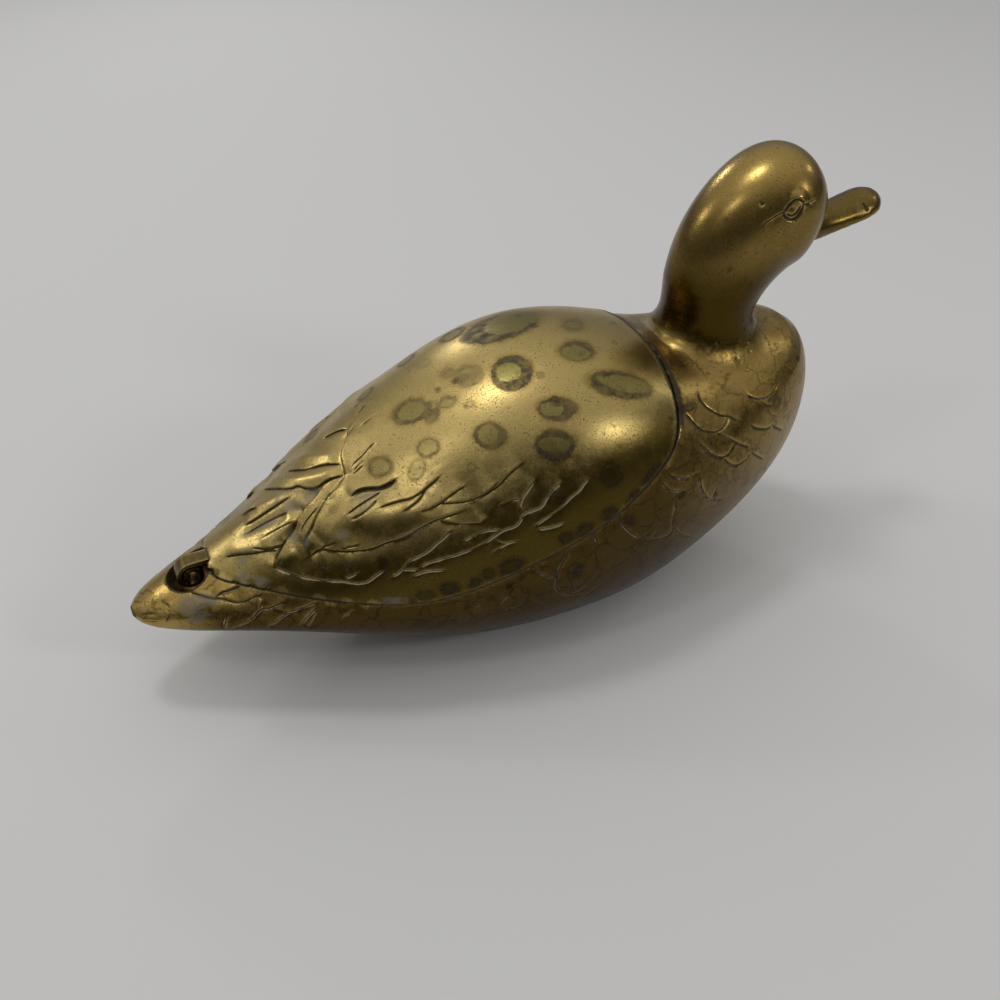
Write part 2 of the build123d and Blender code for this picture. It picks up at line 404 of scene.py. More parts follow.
class Chaser:
    # Holds a blank's points and collects cuts, raised feathers and finish marks on them.
    def __init__(self, piece, axisHeight, openAbove=1.0, blank=None):
        self.piece = piece
        self.points = vertexValues(piece.data, "co").astype(float)
        self.normals = vertexValues(piece.data, "normal").astype(float)
        count = len(self.points)
        _, wide, high = self.points.T
        outward = wide * self.normals[:, 1] + (high - axisHeight) * self.normals[:, 2]
        self.outside = (outward > 0) | (high > openAbove)
        self.cut = np.zeros(count)
        self.rise = np.zeros(count)
        self.marks = {name: np.zeros(count) for name in ("shadeAndDirtMark", "dust", "fade")}
        self.marks |= {name: np.full(count, chasing["farOff"]) for name in ("spot", "heart", "pale")}
        self.atJoint = []
        if blank:
            self.atJoint = np.flatnonzero(np.abs(high - body["neckJoint"]) < body["jointBlend"])
            for index in self.atJoint:
                self.normals[index] = blank.find_nearest(self.points[index])[1]

    def near(self, line, margin):
        return nearLine(self.points, self.normals, line, margin)

    def mark(self, name, index, values):
        self.marks[name][index] = np.maximum(self.marks[name][index], values)

    def feathers(self, traced):
        for cutter, lines in traced:
            for line in lines:
                self.feather(line, cutter)

    def feather(self, line, cutter):
        # The feather on the left of a stroke stands over what lies on its right.
        reach, width, shift = cutter["reach"], cutter["width"], cutter["shift"]
        index, away, along, across, run = self.near(line, chasing["strokeMargin"] * reach)
        ends = endsOf(along, run, cutter["taper"], *chasing["featherEnds"])
        beat = np.sin(along / hand["shortBeat"] + hand["shortStart"] * run)
        beat = beat * np.sin(along / hand["longBeat"] + hand["longStart"] * run)
        uneven = hand["steady"] + hand["unsteady"] * beat
        across = across + hand["wander"] * beat
        back = np.exp(-away / (hand["backReach"] * reach))
        fall = np.where(across > 0, np.exp(-away / reach), back)
        self.rise[index] += cutter["lift"] * ends * np.tanh(across / hand["edgeWidth"]) * fall
        beyond = np.maximum(away ** 2 - across ** 2, 0)
        deep = footBell(beyond, across + shift, width)
        dark = footBell(beyond, across + hand["grooveShift"] * shift, hand["grooveWidth"] * width)
        pale = footBell(beyond, across + hand["dustShift"] * shift, width)
        self.cut[index] = np.maximum(self.cut[index], cutter["depth"] * ends * uneven * deep)
        # The dark groove mark is painted shade under the feather's edge, with dirt in the cut.
        self.mark("shadeAndDirtMark", index, ends * atLeast(hand["grooveLeast"], uneven) * dark)
        self.mark("dust", index, cutter["dust"] * ends * atLeast(hand["dustLeast"], uneven) * pale)

    def ridges(self, traced):
        for ridge, lines in traced:
            for line in lines:
                index, away, along, _, run = self.near(line, chasing["strokeMargin"] * ridge["width"])
                ends = endsOf(along, run, ridge["taper"], *chasing["ridgeEnds"])
                self.rise[index] += ridge["height"] * ends * bell(away, ridge["width"])

    def dents(self, lines, width, depth, darkening=1.0):
        for line in lines:
            index, away, _, _, _ = self.near(line, chasing["dentMargin"] * width)
            hollow = bell(away, width)
            self.cut[index] += depth * hollow
            # The hollow is darkened with painted shade and dirt.
            self.mark("shadeAndDirtMark", index, darkening * hollow)

    def seen(self, side):
        pixels, toEye = photoPixels(self.points, side)
        facing = (self.normals * np.array((1, side, 1)) * toEye).sum(1) > chasing["spotFacing"]
        return np.flatnonzero(facing & self.outside), pixels

    def spots(self, rows, side=1):
        index, pixels = self.seen(side)
        spot, heart, fade = (self.marks[name] for name in ("spot", "heart", "fade"))
        for place, size, turn, bareSize, strength, *elsewhere in rows:
            barePlace = elsewhere[0] if elsewhere else place
            edge = ovalEdge(pixels[index], place, size, turn)
            nearer = edge < spot[index]
            spot[index[nearer]] = edge[nearer]
            fade[index[nearer]] = strength
            heart[index] = np.minimum(heart[index], ovalEdge(pixels[index], barePlace, bareSize, turn))

    def patches(self, rows, sides=(1, -1)):
        pale = self.marks["pale"]
        for side in sides:
            index, pixels = self.seen(side)
            for place, size, turn in rows:
                pale[index] = np.minimum(pale[index], ovalEdge(pixels[index], place, size, turn))

    def shadeAndDirt(self, sharp, reach, darkening, span=(-1.0, 1.0)):
        # Painted shade near sharp edges, such as in the seam's gap and the slot, with some dirt.
        index = np.flatnonzero((self.points[:, 0] > span[0]) & (self.points[:, 0] < span[1]))
        self.mark("shadeAndDirtMark", index, darkening * bell(distancesTo(sharp, self.points[index]), reach))

    def occlusionShade(self, sharp, walls, reach):
        # Painted shade: darker where neighbouring walls close in on the surface.
        turns = np.arange(shadeRays["rays"]) * shadeRays["turn"]
        heights = 1 - 2 * (np.arange(shadeRays["rays"]) + 0.5) / shadeRays["rays"]
        rounds = np.sqrt(1 - heights ** 2)
        ball = np.stack([np.cos(turns) * rounds, np.sin(turns) * rounds, heights], 1)
        for index, (point, normal) in enumerate(zip(self.points, self.normals)):
            if sharp.find(point)[2] < reach:
                start = Vector(point + normal * shadeRays["start"])
                rays = [Vector(way + shadeRays["lean"] * normal).normalized() for way in ball]
                hits = [(ray, walls.ray_cast(start, ray, reach)) for ray in rays]
                closed = sum(hit[0] is not None and hit[1].dot(ray) < 0 for ray, hit in hits)
                self.mark("shadeAndDirtMark", index, min(1.0, shadeRays["gain"] * (closed / shadeRays["rays"])))

    def seamAndSlotShade(self, sharp, settings):
        # Painted shade along the seam, in the slot by the neck, and where walls close in.
        self.shadeAndDirt(sharp, settings["seamShadeReach"], settings["seamShade"])
        self.shadeAndDirt(sharp, settings["slotShadeReach"], settings["slotShade"], settings["slotSpan"])
        self.occlusionShade(sharp, castWalls, settings["slotReach"])

    def finish(self, tones, adjust=None):
        rise = np.clip(self.rise, -chasing["ceiling"], chasing["ceiling"])
        moved = self.points + self.normals * (rise - self.cut)[:, None]
        moved = np.clip(moved, np.array(cadLow), np.array(cadHigh))
        mesh = self.piece.data
        mesh.vertices.foreach_set("co", moved.astype(np.float32).ravel())
        mesh.update()
        normals = vertexValues(mesh, "normal")
        normals[self.atJoint] = self.normals[self.atJoint]
        # Faces turned up go golden and faces turned aside or down go brown: partly patina, partly painted
        # shade from how each face turns to the light.
        low, high, start, end = tones
        shadedTone = low + (high - low) * softStep((normals[:, 2] - start) / (end - start))
        self.marks["shadedTone"] = adjust(self.points, shadedTone) if adjust else shadedTone
        self.marks["worn"] = self.wear(mesh, moved, normals)
        for name, values in self.marks.items():
            mark = mesh.attributes.new(name, "FLOAT", "POINT")
            mark.data.foreach_set("value", values.astype(np.float32))
        mesh.shade_smooth()

    def wear(self, mesh, moved, normals):
        # Edges that stand out are worn, hollows are not.
        edges = np.empty(len(mesh.edges) * 2, np.int32)
        mesh.edges.foreach_get("vertices", edges)
        first, second = edges.reshape(-1, 2).T
        count = len(mesh.vertices)

        def perEnd(atFirst, atSecond):
            return np.bincount(first, atFirst, count) + np.bincount(second, atSecond, count)

        degree = np.maximum(perEnd(None, None), 1)
        step = moved[second] - moved[first]
        bend = ((normals[second] - normals[first]) * step).sum(1) / np.maximum((step * step).sum(1), 1e-12)
        curve = perEnd(bend, bend) / degree
        for _ in range(wearing["rounds"]):
            around = perEnd(curve[second], curve[first]) / degree
            curve = wearing["kept"] * curve + (1 - wearing["kept"]) * around
        curve[self.atJoint] = 0
        return np.clip(curve * mm * wearing["gain"], -1, 1)


# Finish: aged brass, golden where it is handled and on faces turned up, brown on faces turned aside or down
# as patina and painted shade, dark with painted shade and dirt in the hollows, with ragged patina spots

def addNode(tree, kind, settings=None, sockets=None):
    made = tree.nodes.new("ShaderNode" + kind)
    for key, value in (settings or {}).items():
        setattr(made, key, value)
    for key, value in (sockets or {}).items():
        if isinstance(value, bpy.types.NodeSocket):
            tree.links.new(value, made.inputs[key])
        else:
            made.inputs[key].default_value = value
    return made


def noiseOf(tree, place, scale, detail, roughness=0.55):
    return addNode(tree, "TexNoise", None, {"Vector": place, "Scale": scale, "Detail": detail,
                                            "Roughness": roughness}).outputs["Fac"]


def ramped(tree, value, low, high, start=0.0, end=1.0):
    return addNode(tree, "MapRange", {"interpolation_type": "SMOOTHSTEP"},
                   {"Value": value, "From Min": low, "From Max": high, "To Min": start,
                    "To Max": end}).outputs[0]


def blended(tree, factor, first, second, kind="MIX"):
    return addNode(tree, "Mix", {"data_type": "RGBA", "blend_type": kind},
                   {0: factor, 6: first, 7: second}).outputs[2]


# The tints darken the brass under them; the others are colours of their own.
tints = ("halo", "ring", "bare", "freckle", "crack")
# The dark brown for grooves, seams and hollows is painted shade with dirt in it.
brassColours = dict(bare=(0.64, 0.78, 0.86, 1), ring=(0.22, 0.25, 0.36, 1), fleck=(0.16, 0.145, 0.12, 1),
                    halo=(0.66, 0.60, 0.46, 1), shadeAndDirt=(0.030, 0.018, 0.006, 1), dust=(0.44, 0.37, 0.25, 1),
                    speck=(0.06, 0.038, 0.010, 1), freckle=(0.42, 0.40, 0.42, 1),
                    bloom=(0.21, 0.185, 0.14, 1), crack=(0.30, 0.26, 0.26, 1))

# Noises: scale, detail, roughness. Waves: how far each noise moves an edge. Edges and patches: ramps.
brassLook = dict(
    noises=dict(cloud=(30, 4), mottle=(230, 4, 0.6), grain=(950, 3, 0.6), sand=(1500, 2)),
    toneMottle=0.40, toneGrain=0.30, wornGold=0.4,
    speckEdge=(0.57, 0.65), speckPatches=(0.36, 0.62), speckShare=0.7,
    freckleScale=105.0, freckleSize=(0.45, 1.0, 0.0, 0.24), freckleWaves=dict(grain=0.16, mottle=0.16),
    freckleEdge=(0.05, -0.05), frecklePatches=(0.40, 0.60, 0.25, 0.85),
    bendScale=120.0, bendDetail=2.0, bend=14 * mm, crackScale=75.0, crackWaves=dict(grain=0.08, mottle=0.05),
    crackEdge=(0.075, 0.015), crackPatches=(0.40, 0.58, 0.25, 1.0),
    shadeAndDirtWaves=dict(grain=0.5, mottle=0.4), shadeAndDirtEdge=(0.25, 0.85), shadeAndDirtShare=0.9,
    dustWaves=dict(mottle=0.6, grain=0.5), dustEdge=(0.35, 0.75),
    rimWaves=dict(mottle=3.0, grain=1.6, sand=0.8), bareWaves=dict(mottle=1.8, grain=1.2),
    haloEdge=(2.2, -0.2), haloShare=0.8, stainEdge=(0.7, -0.5), bareEdge=(0.35, -0.35),
    ringPatches=(0.30, 0.62, 0.55, 1.0), fleckEdge=(0.56, 0.66), fleckShare=0.35,
    middlePatches=(0.35, 0.65, 0.7, 1.1),
    bloomWaves=dict(mottle=4.0, grain=2.4), bloomEdge=(1.0, -1.6), bloomShare=0.6,
    ringDull=0.3, bloomDull=0.5, shadeAndDirtDull=0.6, dullRough=0.4, stainRough=0.06,
    roughMottle=0.18, roughGrain=0.12,
    grainHeight=0.7, speckHeight=-0.8, mottleHeight=1.0, ringHeight=-0.6, bumpStrength=0.35,
    bumpDistance=0.12 * mm,
)


def agedBrass(name, gold, brown, roughness, drift, crackle=0.0, gritty=1.0):
    look = brassLook
    material = bpy.data.materials.new(name)
    material.use_nodes = True
    tree = material.node_tree
    tree.nodes.clear()
    place = addNode(tree, "TexCoord").outputs["Object"]
    noises = {noise: noiseOf(tree, place, *sizes) for noise, sizes in look["noises"].items()}
    cloud, mottle, grain, sand = noises.values()

    def calc(operation, first, second):
        return addNode(tree, "Math", {"operation": operation}, {0: first, 1: second}).outputs[0]

    def share(first, second):
        return calc("MULTIPLY", first, second)

    def added(first, second):
        return calc("ADD", first, second)

    def less(first, second):
        return calc("SUBTRACT", first, second)

    def larger(first, second):
        return calc("MAXIMUM", first, second)

    def mark(name):
        return addNode(tree, "Attribute", {"attribute_name": name}).outputs["Fac"]

    def wavering(value, **waves):
        for noise, amount in waves.items():
            value = added(value, share(less(noises[noise], 0.5), amount))
        return value

    def ramp(value, name):
        return ramped(tree, value, *look[name])

    def over(under, layer, factor):
        kind = "MULTIPLY" if layer in tints else "MIX"
        return blended(tree, factor, under, brassColours[layer], kind)

    # The tone carries painted shade from each face's turn as well as patina.
    shadedTone = wavering(mark("shadedTone"), cloud=drift, mottle=look["toneMottle"] * gritty,
                    grain=look["toneGrain"] * gritty)
    shadedTone = added(shadedTone, share(mark("worn"), look["wornGold"]))
    colour = blended(tree, ramped(tree, shadedTone, 0.0, 1.0), brown, gold)
    speckled = share(ramp(sand, "speckEdge"), ramp(mottle, "speckPatches"))
    colour = over(colour, "speck", share(speckled, look["speckShare"]))

    cells = addNode(tree, "TexVoronoi", None, {"Vector": place, "Scale": look["freckleScale"]})
    chance = addNode(tree, "SeparateColor", None, {"Color": cells.outputs["Color"]}).outputs["Red"]
    size = ramp(chance, "freckleSize")
    freckle = less(wavering(cells.outputs["Distance"], **look["freckleWaves"]), size)
    freckle = share(ramp(freckle, "freckleEdge"), ramp(cloud, "frecklePatches"))
    colour = over(colour, "freckle", freckle)

    # Fine dark cracks in the skin of the casting, in patches
    drifted = addNode(tree, "TexNoise", None, {"Vector": place, "Scale": look["bendScale"],
                                               "Detail": look["bendDetail"]}).outputs["Color"]
    bent = addNode(tree, "VectorMath", {"operation": "MULTIPLY_ADD"},
                   {0: drifted, 1: (look["bend"],) * 3, 2: place}).outputs[0]
    edges = addNode(tree, "TexVoronoi", {"feature": "DISTANCE_TO_EDGE"},
                    {"Vector": bent, "Scale": look["crackScale"]}).outputs["Distance"]
    crack = ramp(wavering(edges, **look["crackWaves"]), "crackEdge")
    crack = share(share(crack, ramp(mottle, "crackPatches")), crackle)
    colour = over(colour, "crack", crack)

    shadeAndDirtMark, dust = mark("shadeAndDirtMark"), mark("dust")
    # Grooves, pits, seams and closed-in places go dark: painted shade, with dirt in the cuts.
    shadedAndDirty = share(ramp(wavering(shadeAndDirtMark, **look["shadeAndDirtWaves"]), "shadeAndDirtEdge"), look["shadeAndDirtShare"])
    packed = ramp(wavering(dust, **look["dustWaves"]), "dustEdge")
    colour = over(colour, "shadeAndDirt", shadedAndDirty)
    colour = over(colour, "dust", packed)

    rim = wavering(mark("spot"), **look["rimWaves"])
    bareRim = wavering(mark("heart"), **look["bareWaves"])
    fade = mark("fade")
    halo = share(share(ramp(rim, "haloEdge"), fade), look["haloShare"])
    stained = share(ramp(rim, "stainEdge"), fade)
    bare = ramp(bareRim, "bareEdge")
    ring = share(share(stained, less(1.0, bare)), ramp(mottle, "ringPatches"))
    fleck = share(ring, ramp(grain, "fleckEdge"))
    middle = share(share(stained, bare), ramp(grain, "middlePatches"))
    colour = over(colour, "halo", halo)
    colour = over(colour, "ring", ring)
    colour = over(colour, "fleck", share(fleck, look["fleckShare"]))
    colour = over(colour, "bare", middle)
    bloom = ramp(wavering(mark("pale"), **look["bloomWaves"]), "bloomEdge")
    colour = over(colour, "bloom", share(bloom, look["bloomShare"]))

    dull = larger(share(ring, look["ringDull"]), share(bloom, look["bloomDull"]))
    dull = larger(dull, larger(packed, share(shadedAndDirty, look["shadeAndDirtDull"])))
    rough = added(share(dull, look["dullRough"]), share(stained, look["stainRough"]))
    rough = wavering(added(rough, roughness), mottle=look["roughMottle"] * gritty,
                     grain=look["roughGrain"] * gritty)
    height = added(share(grain, look["grainHeight"]), share(speckled, look["speckHeight"]))
    height = added(height, share(mottle, look["mottleHeight"]))
    height = added(height, share(larger(ring, crack), look["ringHeight"]))
    bump = addNode(tree, "Bump", None, {"Height": height, "Strength": look["bumpStrength"] * gritty,
                                        "Distance": look["bumpDistance"]})
    shader = addNode(tree, "BsdfPrincipled", None, {
        "Base Color": colour, "Metallic": less(1.0, dull), "Roughness": rough, "Normal": bump.outputs[0]})
    output = addNode(tree, "OutputMaterial")
    tree.links.new(shader.outputs[0], output.inputs["Surface"])
    return material


def dress(piece, material, body, slot, *nodes):
    piece.data.materials.clear()
    piece.data.materials.append(material)
    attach(piece, body)
    if nodes:
        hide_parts(*nodes)


# Lid: the back and folded wings

lid = dict(
    voxel=1.02 * mm, fairing=30, keepEdge=1.0 * mm, rimKeep=2 * mm, insideShare=0.06, axisHeight=52 * mm,
    # The seam and slot settings paint shade along the seam and the slot; the tones paint faces turned aside
    # or down darker, as patina and painted shade.
    fine=1.5 * mm, finest=0.5 * mm, seamShadeReach=0.6 * mm, seamShade=1.3, slotShadeReach=2.2 * mm, slotShade=1.1,
    slotSpan=(50 * mm, 66 * mm), slotReach=5 * mm, tones=(0.0, 0.95, 0.30, 0.92), rimShadeGain=2.0,
    rimBand=26 * mm,
    wingLobe=cutter(height=1.1, width=6, taper=8, strokes=[
        ((321, 539), (335, 524), (350, 515), (375, 518), (400, 513), (430, 505))]),
    rumpRidges=cutter(height=0.65, width=2.6, taper=6, strokes=[
        ((297, 458), (315, 457), (336, 455)), ((270, 482), (295, 479), (318, 477), (336, 471)),
        ((245, 514), (260, 507), (275, 500), (287, 494)), ((260, 544), (275, 536), (288, 525), (298, 516)),
        ((231, 551), (247, 549), (263, 547)), ((337, 484), (327, 498), (316, 514), (307, 530), (301, 544)),
        ((297, 549), (289, 556), (280, 563))]),
    rumpHollows=cutter(height=-0.8, width=2.4, taper=5, strokes=[
        ((296, 497), (308, 494), (318, 491)), ((289, 506), (297, 510), (304, 507)),
        ((297, 521), (291, 532), (286, 541)), ((243, 534), (258, 526), (274, 519), (287, 512))]),
    wingFoot=cutter(lift=0.28, reach=4, width=0.32, depth=0.32, shift=0.25, taper=4, dust=1.25, strokes=[
        ((273, 567), (286, 572), (295, 575), (308, 578), (320, 580), (330, 581), (344, 582), (355, 584),
         (366, 583), (371, 580), (379, 574), (386, 569)), ((344, 579), (352, 576), (361, 571)),
        ((390, 578), (398, 574), (403, 569), (408, 562), (411, 560), (422, 556), (431, 550), (436, 544),
         (442, 540), (447, 535), (452, 531)),
        ((419, 568), (430, 563), (443, 559), (458, 555), (469, 551), (479, 546), (490, 540), (496, 536),
         (503, 531), (508, 529), (515, 527), (520, 523), (524, 515)), ((401, 571), (409, 570), (419, 570)),
        ((412, 577), (421, 574), (427, 572), (437, 571), (447, 570)),
        ((461, 542), (470, 538), (481, 533), (490, 530), (503, 530)),
        ((494, 539), (499, 542), (503, 543), (511, 543), (520, 541)),
        ((490, 555), (497, 550), (505, 545), (515, 543))]),
    wingEdge=cutter(lift=0.85, reach=7, width=0.36, depth=0.4, shift=0.35, taper=5, dust=0.6, strokes=[
        ((310, 556), (315, 552), (321, 549), (331, 550), (340, 551), (349, 552), (360, 551), (370, 549),
         (379, 546), (389, 542), (399, 539), (410, 534), (419, 529), (428, 524), (436, 520), (446, 517),
         (454, 514), (460, 512)),
        ((440, 520), (448, 522), (457, 524), (467, 524), (478, 523), (482, 522), (488, 516))]),
    wingBarbs=cutter(lift=0.2, reach=3, width=0.3, depth=0.3, shift=0.25, taper=3, dust=0.4, strokes=[
        ((320, 549), (329, 545), (336, 542)), ((342, 549), (350, 547), (360, 544))]),
    darkFan=cutter(lift=0.5, reach=4.5, width=0.3, depth=0.34, shift=0.3, taper=5, dust=0.45, strokes=[
        ((380, 508), (390, 504), (401, 501), (411, 499), (420, 493), (428, 487), (435, 481), (440, 476)),
        ((404, 511), (412, 506), (420, 500), (425, 490)),
        ((421, 511), (434, 507), (445, 500), (452, 494), (460, 489), (465, 486)),
        ((440, 504), (452, 503), (462, 502), (472, 500), (481, 496), (490, 490), (497, 482)),
        ((478, 499), (487, 494), (496, 488), (505, 479), (511, 473), (518, 467), (523, 463))]),
    paleFan=cutter(lift=0.45, reach=4.5, width=0.36, depth=0.4, shift=0.3, taper=4, dust=1.25, strokes=[
        ((497, 506), (508, 501), (518, 499), (522, 498)),
        ((519, 511), (521, 503), (524, 496), (530, 487), (536, 479)),
        ((520, 520), (524, 514), (535, 510), (542, 507), (548, 497), (553, 490), (559, 485), (563, 481)),
        ((533, 528), (539, 523), (548, 517), (559, 510), (566, 503), (572, 497), (580, 491), (584, 484),
         (590, 478)), ((536, 529), (547, 529), (557, 527), (566, 522))]),
    covertPits=cutter(lift=0.75, reach=3, width=0.6, depth=0.7, shift=0.5, taper=4, dust=0.45, strokes=[
        ((351, 497), (357, 491), (362, 489), (370, 488), (378, 488), (384, 486), (390, 483), (396, 479))]),
    covertStrip=cutter(lift=0.3, reach=1.6, width=0.36, depth=0.4, shift=0.3, taper=3, dust=0.6, strokes=[
        ((349, 515), (358, 507), (366, 501), (374, 496), (381, 491)),
        ((379, 500), (373, 506), (368, 511), (362, 516), (353, 521))]),
    wingFront=cutter(lift=0.7, reach=6, width=0.4, depth=0.4, shift=0.4, taper=5, dust=0.5, strokes=[
        ((345, 475), (332, 479), (325, 484), (320, 490), (315, 497), (306, 507), (300, 516), (294, 529),
         (287, 540), (281, 550), (276, 559), (273, 566)),
        ((345, 476), (341, 485), (335, 492), (327, 500), (322, 509), (317, 519), (314, 529), (310, 535),
         (307, 541), (305, 547)),
        ((349, 430), (346, 440), (342, 449), (341, 456), (342, 464), (344, 471), (345, 475))]),
    smallFeathers=cutter(lift=0.42, reach=3.6, width=0.3, depth=0.3, shift=0.28, taper=4, dust=0.5, strokes=[
        ((287, 471), (296, 470), (306, 470), (315, 467), (325, 465), (333, 464), (341, 463)),
        ((264, 489), (280, 489), (290, 489), (298, 486), (304, 488), (312, 488), (318, 486), (325, 481),
         (333, 478), (343, 475)),
        ((244, 526), (254, 520), (262, 515), (270, 510), (279, 504), (287, 498), (292, 494)),
        ((240, 516), (250, 511), (259, 508)), ((254, 548), (262, 549), (270, 549), (277, 547), (282, 544)),
        ((226, 557), (236, 555), (246, 554), (256, 553), (266, 551), (276, 550)),
        ((322, 439), (331, 434), (340, 430), (347, 429))]),
    fineFeathers=cutter(lift=0.18, reach=2.5, width=0.28, depth=0.28, shift=0.25, taper=4, dust=0.6, strokes=[
        ((350, 470), (355, 463), (364, 454), (370, 446), (377, 440)), ((352, 473), (358, 465), (366, 457)),
        ((351, 476), (357, 470), (365, 463)), ((346, 439), (351, 430), (356, 422)),
        ((360, 426), (369, 419), (376, 413)), ((352, 409), (360, 402)),
        ((356, 415), (361, 409), (366, 402)), ((242, 535), (252, 529), (262, 523), (275, 517), (288, 511)),
        ((262, 539), (272, 532), (283, 526), (292, 521)), ((300, 534), (305, 524), (312, 515), (320, 505)),
        ((271, 471), (279, 466), (287, 461))]),
    # Patina spots: place, half sizes and turn of the ring, half sizes of its bare middle, strength,
    # and the place of the middle if it is off the ring's. Bloom: place, half sizes and turn.
    spots=[
        ((500, 328), (40, 13), -17, (29, 10), 1.0, (512, 322)), ((573, 325), (11, 6), 4, (8, 3), 0.6),
        ((512, 373), (21, 18), -8, (12.5, 9.5), 1.0, (509, 372)),
        ((468, 376), (15, 11), -15, (5, 2), 0.55, (466, 371)), ((448, 373), (8, 5), -15, (3, 1), 0.45),
        ((577, 351), (17, 10), 4, (13.5, 7), 0.9, (576, 353)),
        ((620, 385), (31, 13), 11, (25, 7.5), 1.0, (625, 384)),
        ((557, 409), (20, 12), 3, (12, 7), 0.9, (552, 409)),
        ((555, 446), (20, 16), 3, (15.5, 8), 1.0, (554, 445)),
        ((490, 436), (17, 13.5), 4, (10, 9.5), 0.85, (488, 435)),
        ((411, 412), (19, 12), -20, (13.5, 8), 0.85, (411, 411)),
        ((430, 412), (10, 11), 0, (3, 4), 0.7, (433, 406)),
        ((447, 402), (10, 6), -25, (6, 3), 0.65, (446, 403)),
        ((428, 448), (12, 10), -15, (9, 7), 0.6, (428, 447)), ((380, 467), (13, 11), -10, (9, 7), 0.7),
        ((417, 470), (8, 12), 25, (6, 9), 0.4), ((611, 475), (11, 11.5), 0, (8, 8), 0.85, (610.5, 475.5)),
        ((656, 474), (15, 7), -42, (8, 3.5), 0.95, (658, 472)),
        ((637, 497), (10, 6), -30, (6, 3), 0.9, (638, 496)), ((610, 514), (9, 6), -25, (4, 2), 0.85),
        ((585, 530), (9, 6), -25, (4, 2), 0.8), ((557, 497), (7.5, 7), 0, (5, 4.5), 0.8),
        ((511, 566), (13, 7), -25, (9, 4), 0.85), ((488, 574), (6, 5), 0, (3, 2.5), 0.8),
        ((476, 583), (7, 5), -10, (3, 2), 0.9), ((566, 538), (8, 5), -25, (4, 2), 0.8),
        ((449, 589), (9, 6), 0, (3, 2), 0.9), ((472, 468), (5, 5), 0, (3.5, 3.5), 0.6),
        ((462, 476), (5, 4), 0, (3.5, 2.5), 0.5), ((642, 452), (5, 6), 0, (4, 5), 0.5),
        ((470, 404), (6, 4), 0, (4, 2.5), 0.35), ((424, 363), (8, 4), -15, (5, 2), 0.35),
        ((323, 567), (5, 4), 0, (3, 2), 0.8), ((348, 566), (6, 4.5), 0, (4, 2.5), 0.8),
        ((382, 565), (6, 5), 0, (3, 2), 0.85), ((425, 596), (9, 5), 0, (7, 3.5), 0.7)],
    farSpots=[
        ((500, 395), (18, 14), 10, (12, 8), 0.9, (498, 394)),
        ((585, 395), (15, 11), 0, (10, 7), 0.8, (583, 396)),
        ((540, 440), (20, 12), -15, (13, 7), 1.0, (538, 440)),
        ((455, 430), (14, 11), 20, (10, 7), 0.8, (455, 431)), ((610, 445), (11, 10), 0, (8, 7), 0.85),
        ((400, 450), (12, 9), -10, (8, 6), 0.7), ((560, 480), (9, 8), 0, (6, 5), 0.8),
        ((345, 500), (10, 8), 0, (7, 5), 0.7), ((430, 575), (9, 6), 0, (5, 3), 0.8),
        ((520, 560), (8, 5), -20, (4, 2), 0.8), ((640, 470), (9, 6), -40, (5, 3), 0.8)],
    bloom=[
        ((242, 562), (7, 5), 0), ((243, 576), (8, 6), 0), ((260, 581), (9, 5), 10),
        ((394, 600), (10, 4), 0), ((291, 505), (12, 6), -30), ((292, 491), (26, 2), -3),
        ((293, 536), (7, 7), 0), ((366, 496), (14, 4), -20), ((342, 535), (9, 5), -10),
        ((308, 495), (10, 5), -35), ((264, 525), (22, 3.5), -28), ((308, 541), (5, 8), 25),
        ((414, 531), (10, 2), -25), ((364, 508), (12, 2.5), -38)],
)


def chaseLid():
    piece, sharp = castBlank("lidBackAndWings", ["lid"], lid)

    def isInside(place, normal):
        return facesIn(place, normal, lid["axisHeight"]) and sharp.find(place)[2] > lid["rimKeep"]

    print("lid blank", len(piece.data.polygons), "faces")
    thinPoints(piece, isInside, lid["insideShare"])
    tree = treeOf(piece.data)
    traced = tracedCutters(tree, lid, "wingFoot", "wingEdge", "wingBarbs", "darkFan", "paleFan", "covertPits",
                           "covertStrip", "wingFront", "smallFeathers", "fineFeathers")
    lines = linesOf(traced)
    refine(piece, lines, lid["fine"])
    refine(piece, lines, lid["finest"])
    chaser = Chaser(piece, lid["axisHeight"])
    chaser.ridges(tracedCutters(tree, lid, "wingLobe", "rumpRidges", "rumpHollows"))
    chaser.feathers(traced)
    chaser.spots(lid["spots"])
    chaser.spots(lid["farSpots"], side=-1)
    chaser.patches(lid["bloom"])
    chaser.seamAndSlotShade(sharp, lid)

    def rimShade(points, shadedTone):
        # The band along the rim is darker still: partly patina that is handled least, partly painted shade
        # along the lid's lower edge.
        brown = 1 - softStep(distancesTo(sharp, points) / lid["rimBand"])
        return shadedTone ** (1 + lid["rimShadeGain"] * brown)

    chaser.finish(lid["tones"], rimShade)
    return piece


# Body and head: one smooth blank, cut apart at the brazed neck joint

